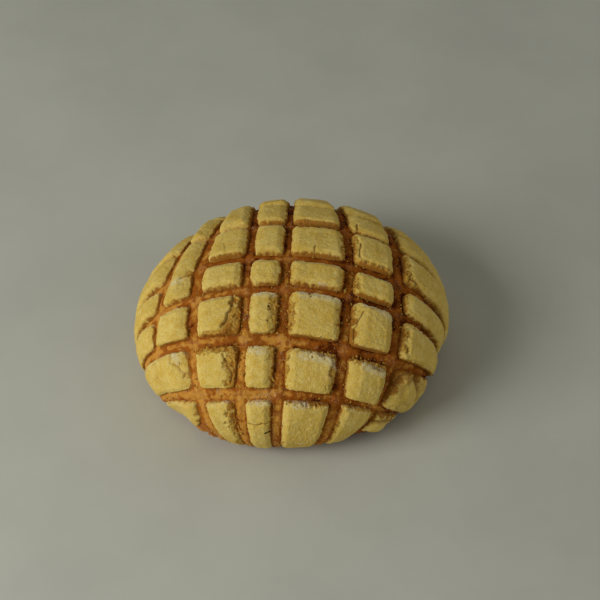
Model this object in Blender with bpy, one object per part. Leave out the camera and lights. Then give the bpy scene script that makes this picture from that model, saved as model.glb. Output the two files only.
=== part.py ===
"""A concha: a domed sweet roll under a shell of sugar paste that was cut into tiles before baking.

Lengths are in millimetres here and become metres where the vertices are placed. Up is +Z, the roll
stands on z = 0 and its middle is at the origin.

The paste is laid out on a square sheet with coordinates (x, y), SHEET each way from the crown. The sheet
is draped over the dome: distance from its middle becomes distance along the crust from the crown, and its
four edges become the round hem. The knife's cuts are smooth curves on the sheet.
"""
import bmesh
import bpy
import numpy as np

MM = 0.001

# The outside of the roll, paste included.
LONG_RADIUS = 58.5
SHORT_RADIUS = 53.5
LONG_AXIS_TURN = np.radians(15)
HEIGHT = 50.0
GIRTH_HEIGHT = 17.0
BASE_SHARE = 0.76  # of the girth's radius
CROWN_POWER = 2.2  # 2 is an ellipse, more is flatter on top
MEAN_RADIUS = 57.0

# Where the hem swells out of the dome or sinks into it: (s, t) on the crust map, width, height.
SWELLS = (
    (66.0, -50.0, 8.0, 1.0),
    (76.0, -20.0, 11.0, -2.2),
    (-58.0, -55.0, 10.0, -1.9),
    (2.0, -82.0, 24.0, -1.3),
    (46.0, -65.5, 6.0, 1.6),
    (37.5, -75.0, 8.0, -0.7),
    (-60.0, 38.0, 26.0, -1.1),
    (44.0, 56.0, 22.0, -1.0),
)

# The paste.
SHEET = 88.0
PASTE = 3.2
HEM_PASTE = 1.5
THIN_FROM = 60.0  # distance from the crown where the paste starts to thin towards its hem
GAP = 0.35
EDGE_INSET = 0.9
WALL_SHARE = 0.5  # of the paste's thickness, where a tile's wall ends and its rounded edge begins
SKIN_DROP = 0.55
PILLOW = 0.35
CORNER = 0.08

# The cuts, each by its place at five stations along it. The lengthwise cuts run away from the viewer.
STATIONS = (-80, -40, 0, 40, 80)
LENGTHWISE = (
    (-64.4, -59.6, -47.7, -43.1, -43.5),
    (-50.3, -39.5, -33.9, -30.5, -29.4),
    (-31.2, -19.7, -15.7, -16.5, -20.4),
    (-10.6, -4.5, -2, -0.5, -1),
    (22.2, 21.2, 20.7, 20.6, 19.5),
    (45.3, 43.1, 39.5, 41.2, 44.6),
)
CROSSWISE = (
    (-57.2, -53.3, -55.5, -60.5, -74),
    (-35.3, -31.0, -34.7, -39.4, -40.9),
    (-19.9, -12.3, -11.8, -17.9, -29.5),
    (-6.8, 2.3, 3.3, -3.2, -14.4),
    (12.6, 21.7, 23.7, 16.2, 6.6),
    (40.4, 44.6, 41.1, 31.6, 22.5),
    (62.3, 64.4, 61.4, 53.4, 44.4),
)

# The width of each cut between the tops of the tiles, at the same stations.
LENGTHWISE_WIDTH = (
    (2.8, 2.6, 4.4, 3.8, 3.2),
    (5.4, 3.6, 4.7, 3.0, 2.6),
    (6.4, 3.4, 2.9, 2.9, 2.4),
    (6.6, 4.6, 3.1, 2.6, 2.0),
    (7.8, 4.6, 3.5, 3.8, 3.0),
    (1.6, 5.0, 4.6, 4.6, 3.4),
)
CROSSWISE_WIDTH = (
    (4.8, 6.0, 4.2, 3.0, 3.0),
    (4.6, 4.7, 5.2, 4.8, 4.2),
    (2.6, 4.2, 4.3, 3.6, 4.0),
    (2.8, 4.2, 4.3, 5.0, 4.2),
    (2.2, 2.4, 3.3, 3.1, 3.2),
    (2.0, 2.2, 2.2, 2.2, 2.0),
    (2.2, 2.2, 2.2, 2.2, 2.2),
)

COLUMNS = len(LENGTHWISE) + 1
ROWS = len(CROSSWISE) + 1

# Tiles that a shallow cut left joined to the next one: (column, row) to the last (column, row).
JOINED = {
    (0, 0): (1, 0),
    (0, 1): (1, 1),
    (1, 3): (1, 4),
    (0, 6): (0, 7),
    (6, 6): (6, 7),
}

# How far a tile stands proud of the dome.
PROUD = {
    (3, 0): 0.3,
    (4, 0): 0.4,
    (5, 1): 0.5,
    (5, 2): 0.4,
    (6, 2): 0.4,
    (2, 5): 0.4,
    (1, 5): 0.4,
    (4, 5): -0.2,
    (5, 5): -0.4,
}

# The torn strip along a tile's edges: left, right, front, back.
TORN = {
    (0, 1): (0, 3.5, 0, 0),
    (1, 2): (0, 2.4, 0, 0),
    (2, 0): (0, 2.8, 0, 0),
    (2, 1): (0, 2.8, 0, 2.6),
    (2, 2): (0, 3.2, 1, 0),
    (3, 1): (0, 1.4, 0, 0),
    (3, 2): (0, 1.8, 0, 0),
    (3, 3): (0, 1.2, 0, 0),
    (4, 1): (1.4, 1.6, 0, 1.4),
    (4, 2): (1, 1.2, 0, 0),
    (4, 3): (1.2, 1, 1, 0),
    (4, 4): (0, 1.4, 0, 1.6),
    (5, 1): (2, 0, 0, 1),
    (5, 2): (2.6, 0, 0, 0),
    (5, 3): (1.6, 0, 0.8, 0),
    (5, 4): (1.6, 0, 1.2, 0),
    (6, 2): (1.2, 0, 0, 0),
    (6, 3): (1.2, 0, 0, 0),
}

TILE_SEGMENTS = 5
HEM_TILE_SEGMENTS = 9
BUN_SEGMENTS = 48
BUN_RINGS = 24
BASE_RINGS = 2  # the last rings of the bun, flat on the floor

PASTE_COLOUR = (0.85, 0.62, 0.17, 1.0)
CRUST_COLOUR = (0.36, 0.13, 0.03, 1.0)


def profile():
    """Distance along the crust from the crown, radius and height, on a roll of MEAN_RADIUS."""
    upper = np.linspace(0, np.pi / 2, 400)
    lower = np.linspace(0, np.pi / 2, 120)[1:]
    tuck = MEAN_RADIUS * (1 - BASE_SHARE)
    crown_radius = MEAN_RADIUS * np.sin(upper) ** (2 / CROWN_POWER)
    crown_height = GIRTH_HEIGHT + (HEIGHT - GIRTH_HEIGHT) * np.cos(upper) ** (2 / CROWN_POWER)
    radius = np.append(crown_radius, MEAN_RADIUS - tuck + tuck * np.cos(lower))
    height = np.append(crown_height, GIRTH_HEIGHT * (1 - np.sin(lower)))
    along = np.append(0, np.cumsum(np.hypot(np.diff(radius), np.diff(height))))
    return along, radius, height


ALONG, RADIUS, RISE = profile()


def drape(x, y):
    """Sheet to crust map: the square sheet becomes a disc, and its edges the hem."""
    return x * np.sqrt(1 - y**2 / (2 * SHEET**2)), y * np.sqrt(1 - x**2 / (2 * SHEET**2))


def dome(s, t):
    """Crust map to space: s and t are distances along the crust from the crown."""
    along = np.hypot(s, t)
    angle = np.arctan2(t, s)
    long_part = np.cos(angle - LONG_AXIS_TURN) / LONG_RADIUS
    short_part = np.sin(angle - LONG_AXIS_TURN) / SHORT_RADIUS
    oval = 1 / (MEAN_RADIUS * np.hypot(long_part, short_part))
    radius = oval * np.interp(along, ALONG, RADIUS)
    return np.stack([radius * np.cos(angle), radius * np.sin(angle), np.interp(along, ALONG, RISE)], -1)


def inward(s, t, step=0.5):
    """The unit vector into the roll at a place on the crust map."""
    across = dome(s + step, t) - dome(s - step, t)
    away = dome(s, t + step) - dome(s, t - step)
    normal = np.cross(away, across)
    return normal / np.linalg.norm(normal, axis=-1, keepdims=True)


def swell(s, t):
    """How far the hem stands out of the dome."""
    return sum(
        height * np.exp(-(((s - at_s) ** 2 + (t - at_t) ** 2) / width**2))
        for at_s, at_t, width, height in SWELLS
    )


def thickness(s, t):
    """The paste's thickness at a place on the crust map."""
    share = np.clip((np.hypot(s, t) - THIN_FROM) / (SHEET - THIN_FROM), 0, 1)
    return PASTE + (HEM_PASTE - PASTE) * share * share * (3 - 2 * share)


def crust_point(s, t, depth):
    """A point in space, depth below the outside of the roll."""
    inside = np.asarray(depth - swell(s, t))[..., None]
    return dome(s, t) + inside * inward(s, t)


def cut_edge(places, widths, index, at, side):
    """One edge of a cut on the sheet, or the sheet's own edge where there is no cut."""
    if index < 0:
        return np.full_like(at, -SHEET)
    if index >= len(places):
        return np.full_like(at, SHEET)
    middle = np.polyval(np.polyfit(STATIONS, places[index], 4), at)
    return middle + side * 0.5 * np.interp(at, STATIONS, widths[index])


def tile_place(first, last, u, v):
    """Crust map place of (u, v) in a tile, each 0 to 1, left to right and front to back."""
    x = np.zeros_like(u)
    y = np.zeros_like(v)
    for _ in range(30):
        left = cut_edge(LENGTHWISE, LENGTHWISE_WIDTH, first[0] - 1, y, 1)
        right = cut_edge(LENGTHWISE, LENGTHWISE_WIDTH, last[0], y, -1)
        front = cut_edge(CROSSWISE, CROSSWISE_WIDTH, first[1] - 1, x, 1)
        back = cut_edge(CROSSWISE, CROSSWISE_WIDTH, last[1], x, -1)
        x = left + u * (right - left)
        y = front + v * (back - front)
    return drape(x, y)


def tile_size(first, last):
    """The tile's width and length on the crust, through its middle."""
    ends = np.array([0.0, 1.0, 0.5, 0.5])
    s, t = tile_place(first, last, ends, ends[::-1])
    return np.hypot(s[1] - s[0], t[1] - t[0]), np.hypot(s[3] - s[2], t[3] - t[2])


def inset_share(share, segments, low, high):
    """Moves a grid line's share of the way across a tile inside its torn or rounded edges."""
    inner = (share * segments - 1) / (segments - 2)
    return np.where((share < 0.001) | (share > 0.999), share, low + inner * (1 - low - high))


def material(name, colour, roughness):
    """A plain Principled material."""
    made = bpy.data.materials.new(name)
    made.use_nodes = True
    shader = made.node_tree.nodes["Principled BSDF"]
    shader.inputs["Base Color"].default_value = colour
    shader.inputs["Roughness"].default_value = roughness
    return made


def add_object(name, mesh, surface, collection):
    """Turns the finished bmesh into an object with its material."""
    data = bpy.data.meshes.new(name)
    mesh.to_mesh(data)
    mesh.free()
    data.materials.append(surface)
    data.shade_smooth()
    made = bpy.data.objects.new(name, data)
    collection.objects.link(made)
    return made


def place(mesh, points):
    """Moves every vertex to its point, from millimetres to metres."""
    for vertex, point in zip(mesh.verts, points):
        vertex.co = point * MM


def make_bun(surface, collection):
    """The bread under the paste, with a flat base."""
    mesh = bmesh.new()
    bmesh.ops.create_uvsphere(mesh, u_segments=BUN_SEGMENTS, v_segments=BUN_RINGS, radius=1)
    sphere = np.array([vertex.co for vertex in mesh.verts])
    from_top = np.arccos(np.clip(sphere[:, 2], -1, 1)) / np.pi * BUN_RINGS
    angle = np.arctan2(sphere[:, 1], sphere[:, 0])
    crust_rings = BUN_RINGS - BASE_RINGS
    along = ALONG[-1] * np.minimum(from_top / crust_rings, 1)
    s = along * np.cos(angle)
    t = along * np.sin(angle)
    under_paste = np.clip((ALONG[-1] - along) / (ALONG[-1] - SHEET), 0, 1)
    points = crust_point(s, t, (thickness(s, t) + GAP) * under_paste)
    below = np.clip((from_top - crust_rings) / BASE_RINGS, 0, 1)
    points[:, :2] *= (1 - below)[:, None]
    points[from_top > crust_rings - 0.5, 2] = 0
    place(mesh, points)
    base = [face for face in mesh.faces if all(vertex.co.z == 0 for vertex in face.verts)]
    bmesh.ops.dissolve_faces(mesh, faces=base, use_verts=True)
    return add_object("bun", mesh, surface, collection)


def make_tile(first, last, surface, collection):
    """One tile of paste: a grid pressed to the dome, with upright walls and a rounded upper edge."""
    across = HEM_TILE_SEGMENTS if first[0] == 0 or last[0] == COLUMNS - 1 else TILE_SEGMENTS
    away = HEM_TILE_SEGMENTS if first[1] == 0 or last[1] == ROWS - 1 or last != first else TILE_SEGMENTS
    mesh = bmesh.new()
    bmesh.ops.create_grid(mesh, x_segments=across, y_segments=away, size=1)
    top = bmesh.ops.extrude_face_region(mesh, geom=mesh.faces[:])["geom"]
    raised = [item for item in top if isinstance(item, bmesh.types.BMVert)]
    bmesh.ops.translate(mesh, verts=raised, vec=(0, 0, 1))
    grid = np.array([vertex.co for vertex in mesh.verts])
    u = (grid[:, 0] + 1) / 2
    v = (grid[:, 1] + 1) / 2
    on_top = grid[:, 2] > 0.5
    on_wall = np.max(np.abs(grid[:, :2]), axis=1) > 0.999
    width, length = tile_size(first, last)
    left, right, front, back = np.add(TORN.get(first, (0, 0, 0, 0)), EDGE_INSET)
    u = inset_share(u, across, left / width, right / width)
    v = inset_share(v, away, front / length, back / length)
    a = 2 * u - 1
    b = 2 * v - 1
    rounded_u = (a * (1 - CORNER * b**4) + 1) / 2
    rounded_v = (b * (1 - CORNER * a**4) + 1) / 2
    s, t = tile_place(first, last, rounded_u, rounded_v)
    paste = thickness(s, t)
    crowned = SKIN_DROP * np.maximum(np.abs(a), np.abs(b)) ** 4 - PILLOW * (1 - a**2) * (1 - b**2)
    top_depth = np.where(on_wall, paste * WALL_SHARE, crowned) - PROUD.get(first, 0)
    place(mesh, crust_point(s, t, np.where(on_top, top_depth, paste)))
    return add_object(f"paste_c{first[0]}_r{first[1]}", mesh, surface, collection)


def make_paste(surface, collection):
    """Every tile, left to right and front to back."""
    covered = set()
    for column in range(COLUMNS):
        for row in range(ROWS):
            first = (column, row)
            last = JOINED.get(first, first)
            if first not in covered:
                make_tile(first, last, surface, collection)
            covered.update({first, last})


def main():
    for old in list(bpy.data.objects):
        bpy.data.objects.remove(old)
    collection = bpy.data.collections.new("concha")
    bpy.context.scene.collection.children.link(collection)
    make_bun(material("crust", CRUST_COLOUR, 0.45), collection)
    make_paste(material("paste", PASTE_COLOUR, 0.75), collection)


main()
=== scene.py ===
"""Dresses the concha: crust with stretch marks, painted shade and a painted sheen, tiles of grained sugar
paste, crumbs and sugar.

Lengths are in millimetres here and become metres where vertices are placed. The crust map (s, t) holds
distances along the crust from the crown, to the right and away from the camera. The paste's square sheet
(x, y) is draped over the dome, as in the solid model.
"""

import bpy
import numpy as np
from bpy.props import FloatProperty, FloatVectorProperty, IntProperty, PointerProperty
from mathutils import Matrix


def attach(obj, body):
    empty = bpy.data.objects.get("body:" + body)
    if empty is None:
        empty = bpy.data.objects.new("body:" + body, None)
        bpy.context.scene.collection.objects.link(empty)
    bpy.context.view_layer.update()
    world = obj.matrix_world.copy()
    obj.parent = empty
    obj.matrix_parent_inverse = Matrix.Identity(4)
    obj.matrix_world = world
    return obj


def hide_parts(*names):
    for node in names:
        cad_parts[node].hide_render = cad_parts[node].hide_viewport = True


bl_info = {
    "name": "Concha",
    "version": (1, 0, 0),
    "blender": (4, 5, 0),
    "location": "View3D > Sidebar > Concha",
    "description": "Builds a baked concha with a sugar-paste shell",
    "category": "Add Mesh",
}

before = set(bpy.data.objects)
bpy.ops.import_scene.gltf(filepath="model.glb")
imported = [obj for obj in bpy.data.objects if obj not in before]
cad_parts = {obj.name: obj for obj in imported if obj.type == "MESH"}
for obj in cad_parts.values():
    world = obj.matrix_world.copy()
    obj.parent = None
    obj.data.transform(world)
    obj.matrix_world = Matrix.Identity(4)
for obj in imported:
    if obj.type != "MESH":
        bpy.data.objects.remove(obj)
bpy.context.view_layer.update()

MM = 0.001

# The outside of the roll, paste included.
LONG_RADIUS = 58.5
SHORT_RADIUS = 53.5
LONG_AXIS_TURN = np.radians(15)
HEIGHT = 50.0
GIRTH_HEIGHT = 17.0
BASE_SHARE = 0.76  # of the girth's radius
CROWN_POWER = 2.2  # 2 is an ellipse, more is flatter on top
MEAN_RADIUS = 57.0
PROFILE_STEPS = (400, 120)  # above the girth and below it

# Where the hem swells out of the dome or sinks into it: (s, t) on the crust map, width, height.
SWELLS = (
    (66.0, -50.0, 8.0, 1.0),
    (76.0, -20.0, 11.0, -2.2),
    (-58.0, -55.0, 10.0, -1.9),
    (2.0, -82.0, 24.0, -1.3),
    (46.0, -65.5, 6.0, 1.6),
    (37.5, -75.0, 8.0, -0.7),
    (-60.0, 38.0, 26.0, -1.1),
    (44.0, 56.0, 22.0, -1.0),
)

# The paste.
SHEET = 88.0
PASTE = 3.2
HEM_PASTE = 1.5
THIN_FROM = 60.0  # distance from the crown where the paste starts to thin towards its hem
FOOT = 0.2  # how far a tile's foot reaches into the cut beside it

# Rounds that bring a place from the crust map back to the sheet, or settle a tile's place on the sheet.
UNDRAPE_ROUNDS = 12
PLACE_ROUNDS = 20

# The cuts, each by its place at five stations along it, and their widths there.
STATIONS = (-80, -40, 0, 40, 80)
LENGTHWISE = (
    (-64.4, -59.6, -47.7, -43.1, -43.5),
    (-50.3, -39.5, -33.9, -30.5, -29.4),
    (-31.2, -19.7, -15.7, -16.5, -20.4),
    (-10.6, -4.5, -2, -0.5, -1),
    (22.2, 21.2, 20.7, 20.6, 19.5),
    (45.3, 43.1, 39.5, 41.2, 44.6),
)
CROSSWISE = (
    (-57.2, -53.3, -55.5, -60.5, -74),
    (-35.3, -31.0, -34.7, -39.4, -40.9),
    (-19.9, -12.3, -11.8, -17.9, -29.5),
    (-6.8, 2.3, 3.3, -3.2, -14.4),
    (12.6, 21.7, 23.7, 16.2, 6.6),
    (40.4, 44.6, 41.1, 31.6, 22.5),
    (62.3, 64.4, 61.4, 53.4, 44.4),
)
LENGTHWISE_WIDTH = (
    (2.8, 2.6, 4.4, 3.8, 3.2),
    (5.4, 3.6, 4.7, 3.0, 2.6),
    (6.4, 3.4, 2.9, 2.9, 2.4),
    (6.6, 4.6, 3.1, 2.6, 2.0),
    (7.8, 4.6, 3.5, 3.8, 3.0),
    (1.6, 5.0, 4.6, 4.6, 3.4),
)
CROSSWISE_WIDTH = (
    (4.8, 6.0, 4.2, 3.0, 3.0),
    (4.6, 4.7, 5.2, 4.8, 4.2),
    (2.6, 4.2, 4.3, 3.6, 4.0),
    (2.8, 4.2, 4.3, 5.0, 4.2),
    (2.2, 2.4, 3.3, 3.1, 3.2),
    (2.0, 2.2, 2.2, 2.2, 2.0),
    (2.2, 2.2, 2.2, 2.2, 2.2),
)
COLUMNS = len(LENGTHWISE) + 1
ROWS = len(CROSSWISE) + 1

# Tiles that a shallow cut left joined to the next one: (column, row) to the last (column, row).
JOINED = {
    (0, 0): (1, 0),
    (0, 1): (1, 1),
    (1, 3): (1, 4),
    (0, 6): (0, 7),
    (6, 6): (6, 7),
}

# How far a tile stands proud of the dome.
PROUD = {
    (3, 0): 0.3,
    (4, 0): 0.4,
    (5, 1): 0.5,
    (5, 2): 0.4,
    (6, 2): 0.4,
    (2, 5): 0.4,
    (1, 5): 0.4,
    (4, 5): -0.2,
    (5, 5): -0.4,
}

# The torn strip along a tile's edges: left, right, front, back.
TORN = {
    (0, 0): (0, 0.4, 1.0, 0.6),
    (0, 1): (0, 1.0, 0, 0.4),
    (1, 2): (0, 0.6, 0, 0.3),
    (2, 0): (0, 3.4, 0.6, 0.4),
    (2, 1): (0, 4.6, 0, 3.2),
    (2, 2): (0, 3.4, 1.6, 0),
    (2, 3): (0, 0.5, 0.5, 0),
    (3, 0): (0, 0.8, 0, 0.6),
    (3, 1): (0.3, 1.8, 0, 0.9),
    (3, 2): (0.8, 2.8, 0.6, 0.4),
    (3, 3): (0, 1.4, 0, 0.3),
    (3, 4): (0, 0.4, 0.3, 0),
    (4, 0): (0.4, 0.6, 0, 1.4),
    (4, 1): (1.8, 2.4, 0, 2.2),
    (4, 2): (2.6, 1.6, 0.2, 0.7),
    (4, 3): (0.6, 1.4, 0.6, 0),
    (4, 4): (0, 1.6, 0.3, 1.8),
    (5, 0): (1.4, 0, 0, 1.0),
    (5, 1): (0.3, 0, 0, 2.4),
    (5, 2): (1.4, 0, 0, 0.7),
    (5, 3): (1.8, 0, 1.0, 0),
    (5, 4): (1.6, 0, 1.4, 0),
    (6, 0): (0.6, 0, 0, 0.4),
    (6, 1): (1.0, 0, 0.4, 0.6),
    (6, 2): (1.8, 0, 0.6, 0),
    (6, 3): (1.2, 0, 0, 0.4),
    (6, 4): (2.2, 0, 0.4, 0),
}
LITTLE_TORN = (0, 0.4, 0, 0)  # where a tile has no entry
WIDE_TEAR = 1.2  # a torn strip at the back that is wider than this is browned

# Corners and edges where the skin broke away: place on the crust map and radius.
CHIPS = {
    (1, 3): ((-36.5, 0.8, 2.0),),
    (2, 2): ((-17.5, -30, 7.8), (-18, -23.5, 4.4), (-26.5, -31.5, 4.4)),
    (2, 4): ((-16.5, 4.5, 2.0),),
    (3, 2): ((-4, -32.5, 3.4),),
    (4, 3): ((-1.5, -12.5, 4.2),),
    (4, 1): ((-2.5, -36.5, 3.4),),
    (5, 3): ((22, -7.5, 1.6),),
    (5, 4): ((22.5, 0.5, 3.2),),
}

# Where paste is missing down to the crust.
BARE = {
    (0, 0): (
        (-38.5, -56, 3.6), (-39, -59.5, 3.2), (-41.5, -62.5, 3.0), (-44.5, -66, 3.8), (-49, -68, 4),
        (-41.5, -70, 7),
    ),
    (2, 2): ((-15.2, -27, 2.2),),
    (6, 1): ((41, -40, 2.6), (40, -45, 3.2), (40, -49, 3.0), (39.5, -54.5, 3.2)),
}

# How much shorter the paste is at a tile's edge on the hem: left, right, front, back.
SHORT_HEM = {
    (6, 0): (0, 0, 6.0, 0),
}

# Where the paste is browned: place on the crust map, radius, and how much where it isn't wholly.
BROWNED = {
    (0, 0): ((-43, -57, 1.0), (-44.5, -60.5, 1.0)),
    (0, 1): (
        (-56, -37, 1.1, 0.5), (-55.8, -31.5, 0.8, 0.6), (-40.5, -47, 1.4), (-43.5, -47.5, 1.2),
        (-41.5, -41, 1.6, 0.6), (-43, -36, 1.0, 0.6),
    ),
    (2, 0): (
        (-25, -57, 1.8, 0.7), (-25, -60.5, 1.6, 0.5), (-25.4, -64, 1.6, 0.5), (-26.5, -67.5, 1.4, 0.4),
    ),
    (2, 2): (
        (-22.4, -26, 1.4, 0.8), (-23.4, -28.5, 1.9, 0.9), (-20.5, -23.5, 1.6, 0.4), (-19, -31, 1.5, 0.4),
        (-27, -30.4, 1.0),
    ),
    (5, 2): ((22.5, -30, 2.4), (22.5, -36, 3.0), (23.5, -25, 1.4)),
    (6, 0): ((38, -58.5, 2.2), (43, -58.5, 2.4), (48, -58.8, 2.0), (53, -60, 2)),
    (6, 1): (
        (44, -37.5, 4.5), (48.5, -37, 3.2), (53, -36.5, 2.4), (43.5, -42.5, 3.2), (42.5, -47, 3.2),
        (40.5, -51, 2.4), (49, -40.5, 3.2, 0.7), (55.5, -38.5, 2.6, 0.8), (60, -35.5, 2.0),
        (62, -40, 4.5, 0.5), (59, -44, 1.6, 0.8), (47, -46, 2.6, 0.5), (50, -53, 2.4, 0.45),
    ),
}

# Folds in the slumped paste at the hem, and ridges where the depth is negative: points on the crust map,
# width, depth.
FOLDS = {
    (0, 1): ((((-55, -28), (-56, -34), (-56.5, -38), (-55, -42)), 2.2, 0.4),),
    (6, 0): ((((38.5, -64.5), (42, -62.5), (47, -61.5), (53, -62)), 0.9, 1.3),),
    (6, 1): (
        (((41.5, -39.5), (47, -38.5), (53, -37.5)), 2.4, 1.0),
        (((39.5, -50), (42, -46.5), (45, -43.6)), 2.4, 1.4),
        (((46.5, -43.6), (50, -40.4), (54, -37)), 1.1, -1.3),
        (((51.5, -41.2), (54, -38.9), (57.5, -36.2)), 0.9, 1.4),
        (((55, -40.5), (58, -42.5), (61, -44.5), (64, -47)), 1.3, 1.5),
        (((47.5, -51), (52, -47.8), (56, -46.8)), 3.4, -1.3),
        (((41, -44.5), (45, -40.5), (49, -37.8)), 0.9, -0.9),
        (((40.5, -41.5), (43.5, -38.5)), 0.9, -0.8),
        (((46, -54), (51, -51.5), (57, -51)), 0.8, 0.7),
    ),
}

# How uneven the slumped tiles are, and the size of their lumps.
SLUMPED = {
    (6, 0): 0.1,
    (6, 1): 0.14,
}
SLUMP_SIZE = 2.8

# Cracks through the skin: points on the crust map, then width. Narrow cracks are shallow.
FULL_CRACK = 0.36
CRACKS = {
    (0, 1): (
        ((-45.6, -29), (-46.1, -34.5), (-43.6, -36.3), (-43, -38.6), (-41.3, -40.3), (-42.4, -42)),
        0.22,
    ),
    (1, 3): (((-36, 1.2), (-38.5, 0.3), (-40.5, -0.6)), 0.3),
    (2, 1): (((-25, -36.5), (-24, -41), (-22.6, -44.5), (-22.8, -48)), 0.3),
    (2, 2): (
        ((-20.6, -12), (-20.8, -15), (-21.2, -19), (-22.6, -22), (-23.4, -24.3), (-25.3, -26.5)),
        0.42,
    ),
    (2, 4): (((-25.5, 12), (-24.5, 9), (-24, 5)), 0.14),
    (3, 0): (((-19, -65.2), (-15, -66), (-12.5, -65.3), (-9, -65.8)), 0.3),
    (3, 2): (((-9, -31.5), (-7, -29.6), (-5, -28.6)), 0.3),
    (4, 4): (((8.5, 8), (8.2, 5), (8.4, 1.5)), 0.26),
    (5, 2): (((26.3, -20.5), (25.7, -23), (24.4, -26), (23.6, -30), (24.1, -35)), 0.26),
    (5, 4): (((24.8, 11.5), (24, 8.5), (24.2, 5)), 0.3),
    (5, 5): (((24.3, 25), (24.5, 21.5), (23.5, 18)), 0.3),
    (6, 3): (((42.2, -7.5), (42.2, -11.5), (43.6, -15.5)), 0.26),
    (6, 4): (((41.3, 7), (41.8, 4.5), (43.2, 1.5), (46.5, -1.5), (51, -4)), 0.38),
}

# Loose sugar left on a tile: a stretch on the crust map and its half width.
SUGARED = {
    (0, 1): (((-44.6, -32), (-43.2, -35)), 1.3),
    (1, 3): (((-43, -2.5), (-41, -1.8)), 1.6),
    (2, 0): (((-27.2, -54.4), (-26.2, -54.8)), 0.9),
    (3, 0): (((-14.5, -55.5), (-9.5, -56.2)), 2.4),
    (3, 1): (((-14.5, -37), (-10.5, -38.4)), 1.8),
    (3, 2): (((-12.5, -14.6), (-6.8, -15)), 1.5),
    (4, 0): (((1.5, -58.6), (6, -58.9)), 1.5),
    (4, 1): (((4, -40.6), (11, -41.2), (17, -43)), 2.0),
    (4, 2): (((4.5, -16), (10, -16.2), (17, -17)), 2.2),
    (4, 3): (((10, -10.1), (12.5, -10.3)), 0.6),
    (5, 1): (((28, -42), (36, -42.8)), 1.8),
    (5, 2): (((27.5, -17.2), (32, -18.5), (36, -20.6)), 1.8),
}

# More of it where it fell into the cuts: place on the crust map and spread.
FALLEN_SUGAR = (
    (-13.5, -54.8, 1.0), (-10.5, -55, 1.0), (-8.5, -54.7, 1.0), (-10.5, -72, 2.0),
    (-29, -50, 1.0), (-3, -41, 1.5), (18, -45, 1.0), (-16, -22, 1.0),
)

# Grains of sugar: smallest and largest radius, chance of one away from the dusted strips and in the cuts,
# number at each place in FALLEN_SUGAR.
SUGAR_RADII = (0.08, 0.17)
SPARSE_SUGAR = 0.05
CUT_SUGAR = 0.02
FALLEN_GRAINS = 30

# How far sugar lies beside a tile, as a share of the tile's size, the thinnest paste that it lies on, and
# how far it stays from the sheet's edge.
SUGAR_SPILL = 0.2
SUGARED_PASTE = 0.6
SUGAR_SETBACK = 3

# How far the middle of a crumb or a grain lies above what carries it, as a share of its radius.
CRUMB_REST = 0.4
SUGAR_REST = 0.2
FALLEN_REST = 0.3

# Crumbs lie along a tile's sides by the width of its torn strips, with EVERYWHERE added to each. Widths of
# TORN_SUM in all give a tile an even share of the crumbs, and MOST_CRUMBS times that is the most. How far
# they lie from the edge is a share of the tile's size, on average and in spread.
EVERYWHERE = 0.12
TORN_SUM = 0.7
MOST_CRUMBS = 2.5
CRUMBS_OFF_EDGE = (-0.015, 0.04)

# Burnt specks: place on the crust map and radius.
SCORCHED = {
    (3, 0): ((-11.8, -70.3, 0.6), (-10.5, -70.6, 0.55)),
    (3, 2): ((-8.3, -20.3, 0.4),),
    (4, 2): ((6.8, -15.6, 0.35), (7.2, -16.8, 0.3)),
    (4, 3): ((11.7, -11.4, 0.35),),
}

# How well the crust is baked at the crown and how much more at the right and at the back, and how dark the
# painted shade is on the side of a cut in a tile's shadow.
BAKED_SHARE = 0.36
DARK_SIDE = (0.52, 0.45)
PAINTED_CUT_SHADE = 0.4

# Where the crust is baked more than around, or less: place on the crust map, radius, how much.
BAKED = (
    (14, -35, 6, 0.4), (40, -57, 6, -0.45), (54, -34, 7, -0.45), (41, 20, 9, -0.3), (-12, -55, 6, -0.2),
    (8, -36, 6, 0.25), (27, -18, 6, 0.4), (36, -9, 7, 0.45), (-18, 4, 8, 0.5), (-26, -36, 5, 0.5),
    (-36, -26, 6, 0.35), (-35, -9, 6, 0.25), (-8, -46, 6, 0.3), (10, -56, 7, 0.35), (27, -58, 6, 0.2),
    (-36, -55, 5, -0.25), (-26, -10, 5, -0.2), (-41, -69, 7, -0.5),
)

# Where the crust is pulled into paler strands most, with a painted pinkish highlight: place on the crust
# map, radius, how much.
PULLED_AND_SHEEN = ((-8, -12, 18, 0.4),)

# The bread stands higher towards the front and a little towards the left: how much, how far the border
# slants, and the distances from the crown between which it rises.
BULGE = 0.9
BULGE_SLANT = 0.35
BULGE_FROM = 38
BULGE_TO = 72

# The bread in a cut: how high its middle stands, how much more where two cuts cross, and its strands.
CUT_CROWN = 0.35
CROSSING_HEIGHT = 0.2
STRAND_HEIGHT = 0.25
STRAND_SIZE = 0.8
STRAND_STRETCH = 0.3

# Uneven places are waves: height, size across, and number of the table of random values.
RAGGED = ((0.3, 2.6, 0), (0.25, 1.0, 1), (0.2, 0.6, 2))
HEM_WAVES = ((1.6, 7, 2), (0.6, 2.2, 2))
TEAR_WAVES = ((0.5, 2.2, 3), (0.3, 0.8, 4))
CHIP_WAVES = ((0.5, 1.8, 900), (0.3, 0.7, 901))
PATCHY = ((0.35, 5, 55), (0.3, 1.8, 56), (0.2, 0.9, 59))

# How far the paste stops short of the sheet's edge, and a torn strip's mean width as a share of TORN's.
HEM_SETBACK = 1.6
TEAR_SHARE = 0.8

# The lumps and the grain of a tile's top: height as a share of the paste's thickness, and size.
TOP_LUMPS = (0.07, 5)
TOP_GRAIN = (0.04, 1.2)

# Rounding of a tile's corners, of its skin's corners and of its broken edges.
CORNER = 1.1
SKIN_CORNER = 0.5
BROKEN_ROUNDING = 0.7

# How deep a scorched speck is, and the soft borders of specks and browned places.
SCORCH_DEPTH = 0.4
SCORCH_SOFTNESS = 0.2
BROWN_SOFTNESS = 0.9

# The least thickness of paste, and how deep in the bread a tile's mesh lies beside it and at its foot.
THINNEST = 0.1
BURIED = 0.25
FOOT_DEPTH = 0.6

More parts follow.
